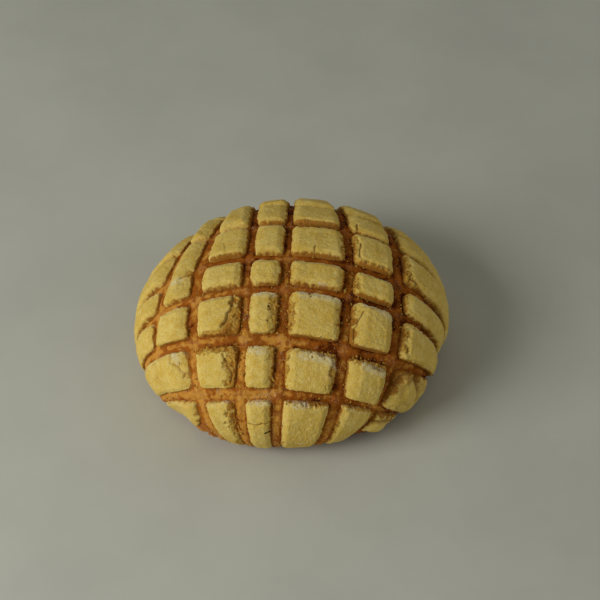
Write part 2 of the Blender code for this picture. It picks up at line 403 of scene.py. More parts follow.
# Flakes on a torn strip: size, width as a share of length, and width of the seams between them.
FLAKE_SIZE = 1.0
FLAKE_SQUEEZE = 0.6
SEAM_WIDTH = 0.1

# The slopes at a tile's left, right, front and back: width, and fall as a share of the paste's thickness.
BEVELS = ((3.4, 0.34), (3.2, 0.42), (2.4, 0.22), (2.6, 0.28))
BEVEL_POWER = 1.1  # 1 is a flat slope, more is hollow
BEVEL_BLEND = 0.02

# The browned fringe at a tile's left, right, front and back: width, and how brown. At the front it differs
# from row to row.
FRINGES = ((1.0, 0.7), (1.6, 0.7), (0.6, 1.0), (0.8, 0.2))
FRONT_FRINGES = (1.3, 1.2, 1.0, 0.7, 0.5, 0.3, 0.2, 0.1)

# The front fringe where it is wider: width and how brown.
BROWN_FRONTS = {
    (2, 4): (1.6, 1.1),
    (3, 5): (1.2, 0.9),
    (4, 2): (0.8, 1.1),
    (4, 4): (0.9, 0.9),
    (4, 5): (1.7, 1.3),
    (5, 2): (1.1, 1.2),
    (5, 3): (1.2, 1.1),
    (5, 4): (1.0, 0.9),
}

# How ragged each side is.
RAGGED_SHARE = (0.9, 1.0, 0.5, 0.9)

# Loose sugar along every tile's back edge, as a share of what SUGARED lays down.
DUSTING = 0.3

# The slope at a tile's left side where it is unlike the others: width and fall.
LEFT_BEVELS = {
    (4, 0): (3.2, 0.4),
    (4, 1): (4.4, 0.5),
    (4, 2): (4.6, 0.5),
    (5, 0): (3.4, 0.4),
    (5, 1): (6.0, 0.62),
    (5, 2): (6.0, 0.62),
}

# The same at a tile's right side.
RIGHT_BEVELS = {
    (0, 0): (4.0, 0.6),
    (0, 1): (8.0, 0.85),
    (1, 2): (4.6, 0.55),
    (2, 1): (6.6, 0.5),
    (3, 1): (4.0, 0.5),
    (3, 2): (4.0, 0.5),
}

# The leftmost columns slump towards their right side, and are less brown there.
SOFT_COLUMNS = 2
SOFT_RIGHT_BEVEL = (5.5, 0.64)
SOFT_FRINGE = 0.35

# Distances from a tile's edge of the first lines of its mesh.
EDGE_STEPS = (0, 0.12, 0.28, 0.48, 0.72, 1.0)

# The rings of the bread's mesh under the hem, and what its marks come to at the base.
TUCK_RINGS = 12
UNDER_MARK = 0.3

# Tables of random values behind the waves and the flakes, and the cosine and sine of their grid's turn.
WAVE_TABLE = 256
FLAKE_TABLE = 128
GRID_TURN = (0.8, 0.6)
OCTAVES = 4
FINER_SHARE = 0.6

# The stage, in metres: the floor, the lights, the middle that they aim at, and how far to the right of it
# and above it the camera aims.
FLOOR_SIZE = 4
KEY_PLACE = (-0.62, -0.345, 0.46)
KEY_SIZE = 0.45
REFLECTOR_PLACE = (0.9, -0.1, 0.3)
REFLECTOR_SIZE = 0.6
REFLECTOR_SHARE = 0.2  # of the key light's power
SKY_COLOUR = (1.0, 1.0, 0.93, 1.0)
MIDDLE = (0, 0, 0.02)
AIM_RIGHT = 0.00291
AIM_UP = 0.00606


def mapped_profile():
    """Distance along the crust from the crown, radius and height, on a roll of MEAN_RADIUS."""
    upper, lower = (np.linspace(0, np.pi / 2, steps) for steps in PROFILE_STEPS)
    lower = lower[1:]
    tuck = MEAN_RADIUS * (1 - BASE_SHARE)
    crown_radius = MEAN_RADIUS * np.sin(upper) ** (2 / CROWN_POWER)
    crown_height = GIRTH_HEIGHT + (HEIGHT - GIRTH_HEIGHT) * np.cos(upper) ** (2 / CROWN_POWER)
    radius = np.append(crown_radius, MEAN_RADIUS - tuck + tuck * np.cos(lower))
    height = np.append(crown_height, GIRTH_HEIGHT * (1 - np.sin(lower)))
    along = np.append(0, np.cumsum(np.hypot(np.diff(radius), np.diff(height))))
    return along, radius, height


ALONG, RADIUS, RISE = mapped_profile()


def narrowed(other):
    """How much the sheet narrows along one axis at a place on the other."""
    return np.sqrt(1 - other**2 / (2 * SHEET**2))


def drape(x, y):
    """Sheet to crust map: the square sheet becomes a disc, and its edges the hem."""
    return x * narrowed(y), y * narrowed(x)


def undrape(s, t):
    """Crust map to sheet."""
    x, y = s, t
    for _ in range(UNDRAPE_ROUNDS):
        x, y = s / narrowed(y), t / narrowed(x)
    return x, y


def dome(s, t):
    """Crust map to space."""
    along = np.hypot(s, t)
    angle = np.arctan2(t, s)
    long_part = np.cos(angle - LONG_AXIS_TURN) / LONG_RADIUS
    short_part = np.sin(angle - LONG_AXIS_TURN) / SHORT_RADIUS
    oval = 1 / (MEAN_RADIUS * np.hypot(long_part, short_part))
    radius = oval * np.interp(along, ALONG, RADIUS)
    return np.stack([radius * np.cos(angle), radius * np.sin(angle), np.interp(along, ALONG, RISE)], -1)


def inward(s, t, step=0.5):
    """The unit vector into the roll at a place on the crust map."""
    across = dome(s + step, t) - dome(s - step, t)
    away = dome(s, t + step) - dome(s, t - step)
    normal = np.cross(away, across)
    return normal / np.linalg.norm(normal, axis=-1, keepdims=True)


def mounds(s, t, places):
    """The sum of round mounds, each given by its place on the crust map, its width and its height."""
    return sum(
        height * np.exp(-(((s - at_s) ** 2 + (t - at_t) ** 2) / width**2))
        for at_s, at_t, width, height in places
    )


def thickness(s, t):
    """The paste's thickness at a place on the crust map."""
    return PASTE + (HEM_PASTE - PASTE) * soft_step(np.hypot(s, t), THIN_FROM, SHEET)


def bread_point(s, t, height):
    """A point in space, height above the bread that carries the paste."""
    under_paste = np.clip((ALONG[-1] - np.hypot(s, t)) / (ALONG[-1] - SHEET), 0, 1)
    depth = thickness(s, t) * under_paste - mounds(s, t, SWELLS) - height
    return dome(s, t) + depth[..., None] * inward(s, t)


def smooth(share):
    """0 to 1 with a soft start and end."""
    share = np.clip(share, 0, 1)
    return share * share * (3 - 2 * share)


def soft_step(value, zero, one):
    """0 to 1 as a value goes from zero to one, with a soft start and end."""
    return smooth((value - zero) / (one - zero))


def round_over(distance, radius):
    """Height share of a quarter-round edge, from 0 at the edge to 1 at radius."""
    return np.sqrt(1 - (1 - np.clip(distance / radius, 0, 1)) ** 2)


def soft_least(distances, blend):
    """The least of several distances, with the corners between them rounded."""
    return -blend * np.log(sum(np.exp(-distance / blend) for distance in distances))


def turned_grid(s, t, size):
    """The column and row of each place on a turned grid, and how far into its cell the place lies."""
    cosine, sine = GRID_TURN
    across = (cosine * s - sine * t) / size
    away = (sine * s + cosine * t) / size
    column = np.floor(across).astype(int)
    row = np.floor(away).astype(int)
    return column, row, across - column, away - row


def lumps(s, t, size, seed):
    """Smooth noise from -1 to 1 whose lumps are size across."""
    table = np.random.default_rng(seed).uniform(-1, 1, (WAVE_TABLE, WAVE_TABLE))
    column, row, across, away = turned_grid(s, t, size)
    left, right = column % WAVE_TABLE, (column + 1) % WAVE_TABLE
    across = smooth(across)
    near, far = (
        table[line % WAVE_TABLE, left] * (1 - across) + table[line % WAVE_TABLE, right] * across
        for line in (row, row + 1)
    )
    return near + (far - near) * smooth(away)


def waves(s, t, parts, seed=0):
    """The sum of lumps of several heights and sizes."""
    return sum(height * lumps(s, t, size, seed + table) for height, size, table in parts)


def fine_lumps(s, t, size, seed):
    """Noise with finer octaves."""
    parts = [(FINER_SHARE**octave, size / 2**octave, octave) for octave in range(OCTAVES)]
    return waves(s, t, parts, seed) / (1 + FINER_SHARE)


def warped(s, t, amount, size, seed):
    """Places pushed about by up to amount, in lumps of a size."""
    return s + amount * lumps(s, t, size, seed), t + amount * lumps(s, t, size, seed + 1)


def cells(s, t, size, seed):
    """Broken pieces about size across: a number for each, and the depth in from its edge, both 0 to 1."""
    table = np.random.default_rng(seed).random((FLAKE_TABLE, FLAKE_TABLE, 3))
    column, row, across, away = turned_grid(s, t, size)
    distances, numbers = [], []
    for step_s in (-1, 0, 1):
        for step_t in (-1, 0, 1):
            cell = table[(row + step_t) % FLAKE_TABLE, (column + step_s) % FLAKE_TABLE]
            distances.append(np.hypot(step_s + cell[..., 0] - across, step_t + cell[..., 1] - away))
            numbers.append(cell[..., 2])
    order = np.argsort(distances, axis=0)[:2]
    nearest, second = np.take_along_axis(np.array(distances), order, axis=0)
    return np.take_along_axis(np.array(numbers), order, axis=0)[0], second - nearest


def cut_middle(places, index, at):
    """The middle of a cut on the sheet: a smooth curve through its five places."""
    return np.polyval(np.polyfit(STATIONS, places[index], len(STATIONS) - 1), at)


def cut_edge(places, widths, index, at, side):
    """One edge of a cut on the sheet, or the sheet's own edge where there is no cut."""
    if index < 0:
        return np.full_like(at, -SHEET)
    if index >= len(places):
        return np.full_like(at, SHEET)
    width = np.interp(at, STATIONS, widths[index]) - 2 * FOOT
    return cut_middle(places, index, at) + side * 0.5 * width


def tile_place(first, last, u, v):
    """Crust map place of (u, v) in a tile, each 0 to 1, left to right and front to back."""
    x = np.zeros_like(u)
    y = np.zeros_like(v)
    for _ in range(PLACE_ROUNDS):
        left = cut_edge(LENGTHWISE, LENGTHWISE_WIDTH, first[0] - 1, y, 1)
        right = cut_edge(LENGTHWISE, LENGTHWISE_WIDTH, last[0], y, -1)
        front = cut_edge(CROSSWISE, CROSSWISE_WIDTH, first[1] - 1, x, 1)
        back = cut_edge(CROSSWISE, CROSSWISE_WIDTH, last[1], x, -1)
        x = left + u * (right - left)
        y = front + v * (back - front)
    return drape(x, y)


def tile_size(first, last):
    """The tile's width and length on the crust, through its middle."""
    ends = np.array([0.0, 1.0, 0.5, 0.5])
    s, t = tile_place(first, last, ends, ends[::-1])
    return np.hypot(s[1] - s[0], t[1] - t[0]), np.hypot(s[3] - s[2], t[3] - t[2])


def all_tiles():
    """Each tile's first and last (column, row)."""
    covered = set()
    for column in range(COLUMNS):
        for row in range(ROWS):
            first = (column, row)
            last = JOINED.get(first, first)
            if first not in covered:
                yield first, last
            covered.update({first, last})


def grid_lines(extent, step):
    """Places across a tile from 0 to 1: close together at both edges, step apart between."""
    edge = np.array(EDGE_STEPS)
    inner = np.linspace(edge[-1], extent - edge[-1], max(int(extent / step), 4))
    return np.concatenate([edge[:-1], inner, (extent - edge[:-1])[::-1]]) / extent


def distance_to_line(s, t, points):
    """Distance from each place to a line of straight stretches on the crust map."""
    nearest = np.inf
    for (s0, t0), (s1, t1) in zip(points, points[1:]):
        ds, dt = s1 - s0, t1 - t0
        share = np.clip(((s - s0) * ds + (t - t0) * dt) / (ds * ds + dt * dt), 0, 1)
        nearest = np.minimum(nearest, np.hypot(s - s0 - share * ds, t - t0 - share * dt))
    return nearest


def distance_outside(s, t, places):
    """Distance outside the nearest of some round places, with uneven borders."""
    uneven = waves(s, t, CHIP_WAVES)
    distances = [np.hypot(s - s0, t - t0) - radius + uneven for s0, t0, radius in places]
    return np.min([np.full_like(s, np.inf), *distances], axis=0)


def patches(s, t, places, softness):
    """1, or a place's own strength, inside round places, fading to 0 across their borders."""
    mask = np.zeros_like(s)
    for s0, t0, radius, *strength in places:
        within = soft_step(np.hypot(s - s0, t - t0), radius + softness, radius - softness)
        mask = np.maximum(mask, (strength or [1])[0] * within)
    return mask


def placed(name, data):
    """A new object in the scene."""
    piece = bpy.data.objects.new(name, data)
    bpy.context.scene.collection.objects.link(piece)
    return piece


def mesh_object(name, points, faces, marks, material, nodes):
    """A piece on the roll: its mesh with painted marks, its material and the solids it stands for."""
    mesh = bpy.data.meshes.new(name)
    mesh.from_pydata(points * MM, [], faces)
    for mark, values in marks.items():
        layer = mesh.attributes.new(mark, "FLOAT", "POINT")
        layer.data.foreach_set("value", np.asarray(values, dtype=np.float32))
    mesh.materials.append(material)
    mesh.shade_smooth()
    piece = placed(name, mesh)
    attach(piece, "root")
    if nodes:
        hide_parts(*nodes)


def grid_faces(rows, columns):
    """The quads of a grid of rows by columns vertices, facing up."""
    corner = np.arange((rows - 1) * columns).reshape(rows - 1, columns)[:, :-1].ravel()
    return np.stack([corner, corner + 1, corner + columns + 1, corner + columns], -1)


def rim_of(rows, columns):
    """The grid's outer vertices in order, against the clock from above."""
    last = rows * columns
    return np.concatenate([
        np.arange(columns - 1),
        np.arange(columns - 1, last - 1, columns),
        np.arange(last - 1, last - columns, -1),
        np.arange(last - columns, 0, -columns),
    ])


def skirt_faces(upper, lower):
    """Quads between two closed rings of vertices, facing out when upper runs against the clock."""
    return np.stack([upper, lower, np.roll(lower, -1), np.roll(upper, -1)], -1)


def ragged_outline(first, last, s, t, sides, seed):
    """Distance in from each of a tile's sides, made uneven and set back at the hem."""
    on_hem = [first[0] == 0, last[0] == COLUMNS - 1, first[1] == 0, last[1] == ROWS - 1]
    ragged = waves(s, t, RAGGED, seed)
    setback = HEM_SETBACK + waves(s, t, HEM_WAVES, seed)
    shorter = SHORT_HEM.get(first, (0, 0, 0, 0))
    return [
        side + ragged * share - (setback + less) * hem
        for side, share, less, hem in zip(sides, RAGGED_SHARE, shorter, on_hem)
    ]


def paste_relief(first, last, s, t, sides):
    """Height of a tile above the bread and its painted marks, from the distance to each side."""
    sizes = bpy.context.scene.concha_paste
    seed = 100 * first[0] + 10 * first[1]
    outline = ragged_outline(first, last, s, t, sides, seed)
    inside = np.minimum(soft_least(outline, CORNER), distance_outside(s, t, BARE.get(first, ())))
    torn_widths = TORN.get(first, LITTLE_TORN)
    tear = TEAR_SHARE + waves(s, t, TEAR_WAVES, seed)
    skin_edge = soft_least([side - width * tear for side, width in zip(outline, torn_widths)], SKIN_CORNER)
    skin_edge = np.min([skin_edge, distance_outside(s, t, CHIPS.get(first, ())), inside], axis=0)
    strip = inside - skin_edge

    top = 1 - slope(first, sides) + TOP_LUMPS[0] * lumps(s, t, TOP_LUMPS[1], seed + 5)
    top = top + TOP_GRAIN[0] * fine_lumps(s, t, TOP_GRAIN[1], seed + 6)
    top = top + SLUMPED.get(first, 0) * lumps(s, t, SLUMP_SIZE, seed + 14)
    rounding = (1 - 0.5 * soft_step(strip, 0, 1.5)) * sizes.edge_radius / MM
    skin_height = top * round_over(skin_edge + 0.12, rounding)
    flakes, seam, lost = broken_pieces(s, t, -skin_edge, torn_widths, seed)
    flakes = np.minimum(flakes, top - 0.05) * round_over(inside, BROKEN_ROUNDING)
    height = np.maximum(skin_height, flakes) * (thickness(s, t) + PROUD.get(first, 0))
    split = np.exp(-(((skin_edge + 0.15) / 0.16) ** 2)) * soft_step(strip, 0.7, 1.6)
    crack = np.maximum(cracked(s, t, first, seed), 0.45 * split)
    fold = folded(s, t, first)
    scorched = patches(s, t, SCORCHED.get(first, ()), SCORCH_SOFTNESS)
    height = height - sizes.crack_depth / MM * crack - SCORCH_DEPTH * scorched - fold

    torn = soft_step(skin_edge, 0.25, -0.25) * soft_step(inside, 0, 0.3)
    low_edge = soft_step(height, 1.56, 0.36) * soft_step(inside, 1.6, 0.8)
    low_rim = soft_step(height, 1, 0) * soft_step(inside, 1.2, 0.2)
    browned = patches(s, t, BROWNED.get(first, ()), BROWN_SOFTNESS)
    browned_strip = soft_step(torn_widths[3] * tear - outline[3], -0.4, 0.4) * (torn_widths[3] > WIDE_TEAR)
    fringe = browned_edges(outline, first) + 0.4 * lumps(s, t, 0.9, seed + 13) * soft_step(inside, 1.2, 0.2)
    toasted = low_edge + 0.45 * browned_strip + lost * torn + 0.9 * browned + fringe
    # Darker in cracks, in the seams between flakes, in folds by their depth and at the foot of the walls;
    # all of it goes into the cracked mark.
    darkened = crack + seam * torn + 0.8 * soft_step(fold, 0, 1.6) + 0.4 * low_rim
    dusted = DUSTING * soft_step(outline[3], 2.52, 0.72) * (1 - torn) * (first not in SLUMPED)
    marks = {
        "torn": torn,
        "toasted": np.clip(toasted, 0, 1),
        "cracked": np.clip(darkened, 0, 1),
        "sugared": sugared(s, t, first) + dusted,
        "scorched": scorched,
    }
    return np.where(inside > 0.02, np.maximum(height, THINNEST), -BURIED), marks


def browned_edges(outline, first):
    """How far the paste is browned at its edges."""
    left, right, front, back = FRINGES
    if first[0] < SOFT_COLUMNS:
        right = (right[0], right[1] * SOFT_FRINGE)
    front = BROWN_FRONTS.get(first, (front[0], front[1] * FRONT_FRINGES[first[1]]))
    fringes = zip(outline, (left, right, front, back))
    return np.max([brown * soft_step(side, width, 0) for side, (width, brown) in fringes], axis=0)


def slope(first, sides):
    """How far the tile's top falls towards its sides, as a share of its thickness."""
    right = SOFT_RIGHT_BEVEL if first[0] < SOFT_COLUMNS else BEVELS[1]
    bevels = [LEFT_BEVELS.get(first, BEVELS[0]), RIGHT_BEVELS.get(first, right), *BEVELS[2:]]
    rises = [
        -fall * (1 - np.clip(side / width, 0, 1)) ** BEVEL_POWER
        for side, (width, fall) in zip(sides, bevels)
    ]
    return -soft_least(rises, BEVEL_BLEND)


def broken_pieces(s, t, outside, torn_widths, seed):
    """Flakes of paste on a torn strip: their height as a share, the seams between them, what is lost."""
    warp_s, warp_t = warped(s, t, 0.5, 1.5, seed + 7)
    if max(torn_widths[:2]) >= max(torn_widths[2:]):
        warp_t = warp_t * FLAKE_SQUEEZE
    else:
        warp_s = warp_s * FLAKE_SQUEEZE
    number, depth = cells(warp_s, warp_t, FLAKE_SIZE, seed)
    outward = np.clip(outside / max(*torn_widths, 2.2), 0, 1)
    lost = soft_step(0.6 * outward - number, 0.12, 0.24)
    seam = np.exp(-((depth / SEAM_WIDTH) ** 2))
    pit = soft_step(lumps(s, t, 0.9, seed + 12), 0.3, 0.6)
    whole = 0.86 - 0.46 * outward + 0.14 * (number - 0.5) - 0.12 * seam - 0.06 * pit
    return whole + (0.4 - whole) * lost, 0.28 * seam, np.maximum(lost, 0.4 * pit)


def sugared(s, t, first):
    """1 where loose sugar lies on the tile."""
    if first not in SUGARED:
        return np.zeros_like(s)
    points, width = SUGARED[first]
    return smooth(1.3 - distance_to_line(s, t, points) / width)


def folded(s, t, first):
    """Depth of the tile's folds."""
    total = np.zeros_like(s)
    for points, width, depth in FOLDS.get(first, ()):
        total = total + depth * np.exp(-((distance_to_line(s, t, points) / width) ** 2))
    return total


def cracked(s, t, first, seed):
    """Up to 1 in the tile's crack, less in a narrow one, and 0 away from it."""
    if first not in CRACKS:
        return np.zeros_like(s)
    points, width = CRACKS[first]
    distance = distance_to_line(*warped(s, t, 0.35, 1.6, seed + 8), points)
    wide = width * (1 + 0.5 * lumps(s, t, 2.0, seed + 10))
    return min(width / FULL_CRACK, 1) * np.exp(-((distance / wide) ** 2))


def tile_surface(first, last, u, v):
    """Crust map place of (u, v) in a tile, the height of the paste there, and its painted marks."""
    width, length = tile_size(first, last)
    sides = [u * width, (1 - u) * width, v * length, (1 - v) * length]
    s, t = tile_place(first, last, u, v)
    return s, t, *paste_relief(first, last, s, t, sides)


def closed_piece(name, material, node, surface, rings, base=None):
    """A closed mesh: a grid for what shows, rings of vertices below its rim, and one face at the bottom.

    Each ring has its reach, the share of the rim's height and marks that it keeps, and what each gains.
    """
    s, t, height, marks = surface
    rim = rim_of(*s.shape)
    rim_s, rim_t, rim_height = (values.ravel()[rim] for values in (s, t, height))
    points = [bread_point(s, t, height).reshape(-1, 3)]
    faces = grid_faces(*s.shape).tolist()
    marks = {mark: [values.ravel()] for mark, values in marks.items()}
    upper = rim
    for number, (reach, kept, rise, more) in enumerate(rings):
        points.append(bread_point(rim_s * reach, rim_t * reach, rim_height * kept + rise))
        lower = s.size + number * len(rim) + np.arange(len(rim))
        faces += skirt_faces(upper, lower).tolist()
        upper = lower
        for values in marks.values():
            values.append(values[0][rim] * kept + more)
    if base is not None:
        points[-1][:, 2] = base
    faces.append(upper[::-1].tolist())
    marks = {mark: np.concatenate(values) for mark, values in marks.items()}
    mesh_object(name, np.vstack(points), faces, marks, material, [node])


def make_tile(first, last, material):
    """One tile of paste, with its walls and its foot in the bread."""
    step = bpy.context.scene.concha_paste.mesh_step / MM
    u, v = np.meshgrid(*(grid_lines(extent, step) for extent in tile_size(first, last)))
    s, t, height, marks = tile_surface(first, last, u, v)
    height[[0, -1], :] = -BURIED
    height[:, [0, -1]] = -BURIED
    place = f"c{first[0]}_r{first[1]}"
    surface = (s, t, height, marks)
    closed_piece(f"tile_{place}", material, f"paste_{place}", surface, [(1, 0, -FOOT_DEPTH, 0)])


def across_cut(x, y, places, widths):
    """Where each place lies in the nearest cut: 0 in its middle, -1 and 1 at its edges."""
    nearest = np.full_like(x, np.inf)
    for index in range(len(places)):
        half = 0.5 * np.interp(y, STATIONS, widths[index])
        offset = (x - cut_middle(places, index, y)) / half
        nearest = np.where(np.abs(offset) < np.abs(nearest), offset, nearest)
    return nearest


def crust_relief(x, y, s, t):
    """Height of the bare bread in the cuts and its painted marks."""
    lengthwise = across_cut(x, y, LENGTHWISE, LENGTHWISE_WIDTH)
    crosswise = across_cut(y, x, CROSSWISE, CROSSWISE_WIDTH)
    in_lengthwise = np.clip(1 - lengthwise**2, 0, 1)
    in_crosswise = np.clip(1 - crosswise**2, 0, 1)
    in_cut = np.maximum(in_lengthwise, in_crosswise)
    crossing = np.minimum(in_lengthwise, in_crosswise)
    strands = (
        lumps(s, t * STRAND_STRETCH, STRAND_SIZE, 51) * in_lengthwise
        + lumps(s * STRAND_STRETCH, t, STRAND_SIZE, 52) * in_crosswise
    )
    bulging = soft_step(-BULGE_SLANT * s - t, BULGE_FROM, BULGE_TO)
    height = CUT_CROWN * in_cut + CROSSING_HEIGHT * crossing + STRAND_HEIGHT * strands + BULGE * bulging
    height = height + 0.25 * lumps(s, t, 3.5, 53) + 0.3 * fine_lumps(s, t, 1.4, 54)

    side = (s * DARK_SIDE[0] + t * DARK_SIDE[1]) / SHEET
    # Painted shade: the side of each cut that lies in the shadow of the tile beside it is darker, less so
    # at the left and where cuts cross. It is added to the bake.
    cut_shade = soft_step(lengthwise, 0.2, -0.8) * in_lengthwise * soft_step(s, -48, -8) * (1 - 0.7 * bulging)
    cut_shade = (cut_shade + soft_step(crosswise, 0.2, -0.8) * in_crosswise) * (1 - 0.8 * smooth(1.5 * crossing))
    bake_and_shade = BAKED_SHARE + side + waves(s, t, PATCHY) + PAINTED_CUT_SHADE * cut_shade + mounds(s, t, BAKED)
    pulled_and_sheen = 1.3 * crossing - 0.35 * (s + t) / SHEET + mounds(s, t, PULLED_AND_SHEEN)
    marks = {
        # The bake, with the painted shade in the cuts added to it.
        "bake_and_shade": np.clip(bake_and_shade, -0.1, 1),
        # Darker crust along a tile's foot: partly a darker bake, partly painted shade.
        "rim": smooth(1.2 * (1 - in_cut) + 0.3 * lumps(s, t, 1.3, 58) - 0.15),
        # Paler stretched crust where cuts cross, partly a painted pinkish highlight.
        "stretched_and_sheen": smooth(pulled_and_sheen + 0.6 * lumps(s, t, 2.4, 57) - 0.2),
        "strands": np.clip(0.5 + 0.5 * strands, 0, 1),
    }
    return height, marks


def make_bread(material):
    """The bread: a draped grid under the paste, rings that tuck under it, and the flat base."""
    step = bpy.context.scene.concha_crust.mesh_step / MM
    lines = np.linspace(-SHEET, SHEET, int(2 * SHEET / step) + 1)
    x, y = np.meshgrid(lines, lines)
    s, t = drape(x, y)
    under = np.arange(1, TUCK_RINGS + 1) / TUCK_RINGS
    rings = [(1 + share * (ALONG[-1] / SHEET - 1), 1 - share, 0, UNDER_MARK * share) for share in under]
    closed_piece("bread", material, "bun", (s, t, *crust_relief(x, y, s, t)), rings, base=0)


class Wire:
    """A shader socket that takes part in Python expressions."""

    def __init__(self, tree, socket):
        self.tree = tree
        self.socket = socket

    def _math(self, operation, first, second):
        node = self.tree.nodes.new("ShaderNodeMath")
        node.operation = operation
        for socket, value in zip(node.inputs, (first, second)):
            connect(self.tree, socket, value)
        return Wire(self.tree, node.outputs[0])

    def __add__(self, other):
        return self._math("ADD", self, other)

    __radd__ = __add__

    def __mul__(self, other):
        return self._math("MULTIPLY", self, other)

    __rmul__ = __mul__

    def __sub__(self, other):
        return self._math("SUBTRACT", self, other)

    def __rsub__(self, other):
        return self._math("SUBTRACT", other, self)


def connect(tree, socket, value):
    """Links a wire to a socket, or sets the socket's own value."""
    if isinstance(value, Wire):
        tree.links.new(value.socket, socket)
    else:
        socket.default_value = value


def opaque(colour):
    """A colour with full alpha."""
    return (*colour, 1.0)


class Finish:
    """A new material and the nodes that make its surface."""

    def __init__(self, name):
        self.material = bpy.data.materials.new(name)
        self.material.use_nodes = True
        self.tree = self.material.node_tree
        self.shader = self.tree.nodes["Principled BSDF"]

    def node(self, kind, settings=None, output=0, **sockets):
        """Adds a node of a kind: its settings, then its inputs by name, or by number if names repeat."""
        node = self.tree.nodes.new(kind)
        for name, value in (settings or {}).items():
            setattr(node, name, value)
        for name, value in sockets.items():
            connect(self.tree, node.inputs[int(name) if name.isdigit() else name], value)
        return Wire(self.tree, node.outputs[output])

    def mark(self, name):
        """A value painted on the mesh."""
        return self.node("ShaderNodeAttribute", {"attribute_name": name}, output="Fac")

    def noise(self, size, detail=3.0, roughness=0.55, distortion=0.0):
        """Noise from 0 to 1 whose lumps are size millimetres across."""
        place = self.node("ShaderNodeTexCoord", output="Object")
        return self.node("ShaderNodeTexNoise", Vector=place, Scale=1 / (size * MM), Detail=detail,
                         Roughness=roughness, Distortion=distortion)

    def between(self, value, low, high):
        """0 below low, 1 above high, with a soft step between."""
        return self.node("ShaderNodeMapRange", {"interpolation_type": "SMOOTHSTEP"}, Value=value,
                         **{"From Min": low, "From Max": high})

    def mix(self, share, first, second):
        """Colour first where share is 0, second where it is 1."""
        return self.node("ShaderNodeMix", {"data_type": "RGBA", "clamp_factor": True}, output=2,
                         **{"0": share, "6": first, "7": second})

    def tint(self, below, value, low, high, colour, share=1.0):
        """Lays a colour over what is below, by up to share, where a value rises from low to high."""
        return self.mix(self.between(value, low, high) * share, below, opaque(colour))

    def bumped(self, height, strength, distance, **below):
        """A surface direction bent by a height, on top of another given as Normal."""
        distance = distance * MM
        return self.node("ShaderNodeBump", Height=height, Strength=strength, Distance=distance, **below)

    def surface(self, **sockets):
        """Sets the shader's inputs, named with underscores, and gives the material."""
        for name, value in sockets.items():
            connect(self.tree, self.shader.inputs[name.replace("_", " ")], value)
        return self.material


def paste_finish():
    """Dry sugar paste: grainy, paler in places, brown where it is torn or meets the crust."""
    look = bpy.context.scene.concha_paste
    finish = Finish("sugar_paste")
    mottle = finish.noise(1.3, 4.0, 0.65)
    grain = finish.noise(0.45, 2.0, 0.6)
    crumbly = finish.noise(0.7, 4.0, 0.72)
    colour = finish.tint(opaque(look.colour), finish.noise(6.0, 3.0), 0.38, 0.66, look.pale_colour)
    colour = finish.tint(colour, finish.noise(3.2, 2.0), 0.45, 0.68, look.deep_colour, 0.5)
    colour = finish.tint(colour, mottle, 0.47, 0.7, look.deep_colour, 0.7)
    colour = finish.tint(colour, grain, 0.53, 0.68, look.grain_colour, 0.7)
    colour = finish.tint(colour, crumbly, 0.6, 0.72, look.toast_colour, 0.5)
    torn = finish.tint(opaque(look.toast_colour), crumbly, 0.36, 0.6, look.crumb_colour)
    colour = finish.mix(finish.mark("torn") * 0.75, colour, torn)
    patchy = finish.noise(1.4, 4.0, 0.7)
    toast = finish.tint(opaque(look.toast_colour), patchy, 0.42, 0.66, look.crack_colour, 0.7)
    toasted = finish.mark("toasted") + (crumbly - 0.5) * 1.5
    colour = finish.mix(finish.between(toasted, 0.25, 0.85) * 0.85, colour, toast)
    colour = finish.mix(finish.mark("cracked") * 0.85, colour, opaque(look.crack_colour))
    flecks = finish.mark("sugared") * finish.between(finish.noise(0.6, 3.0, 0.75), 0.44, 0.6)
    colour = finish.mix(flecks * 0.6, colour, opaque(look.sugar_colour))
    colour = finish.tint(colour, finish.mark("scorched"), 0.3, 0.7, look.scorch_colour)
    normal = finish.bumped(grain, 0.9, 0.3, Normal=finish.bumped(mottle, 0.5, 0.5))
    rough = 0.78 + finish.mark("torn") * 0.1
    return finish.surface(Base_Color=colour, Roughness=rough, Normal=normal, Specular_IOR_Level=0.12)


def crust_finish():
    """Baked bread: golden to red-brown, with paler pulled strands and a painted pinkish highlight where it
    split, and painted shade in the cuts.
    """
    look = bpy.context.scene.concha_crust
    finish = Finish("bread_crust")
    # The bake mark also holds the painted shade on the shaded side of each cut.
    bake_and_shade = finish.mark("bake_and_shade") + (finish.noise(1.8, 5.0, 0.7, 0.6) - 0.5) * 1.1
    # The rim mark darkens the crust along a tile's foot: partly a darker bake, partly painted shade.
    bake_and_shade = bake_and_shade + finish.mark("rim") * 0.4 + (finish.mark("strands") - 0.5) * 0.4
    colour = finish.tint(opaque(look.pale_colour), bake_and_shade, -0.15, 0.42, look.colour)
    colour = finish.tint(colour, bake_and_shade, 0.5, 1.15, look.dark_colour)
    # Paler pulled strands, partly a painted pinkish highlight.
    pulled_and_sheen = finish.mark("stretched_and_sheen") * finish.between(finish.noise(0.8, 4.0, 0.7, 1.0), 0.45, 0.66)
    colour = finish.mix(pulled_and_sheen * 0.6, colour, opaque(look.strand_and_sheen_colour))
    normal = finish.bumped(finish.noise(1.1, 5.0, 0.6, 0.8), 0.9, 0.7)
    normal = finish.bumped(finish.noise(0.4, 3.0, 0.6), 0.6, 0.2, Normal=normal)
    rough = 0.5 + finish.noise(1.8, 3.0) * 0.3
    return finish.surface(Base_Color=colour, Roughness=rough, Normal=normal, Specular_IOR_Level=0.06)


def plain_finish(name, colour, roughness, mottle_size, mottle):
    """A matt finish with faint mottling."""
    finish = Finish(name)
    darker = [channel * (1 - mottle) for channel in colour]
    shade = finish.tint(opaque(colour), finish.noise(mottle_size, 4.0), 0.3, 0.7, darker)
    return finish.surface(Base_Color=shade, Roughness=roughness, Specular_IOR_Level=0.2)


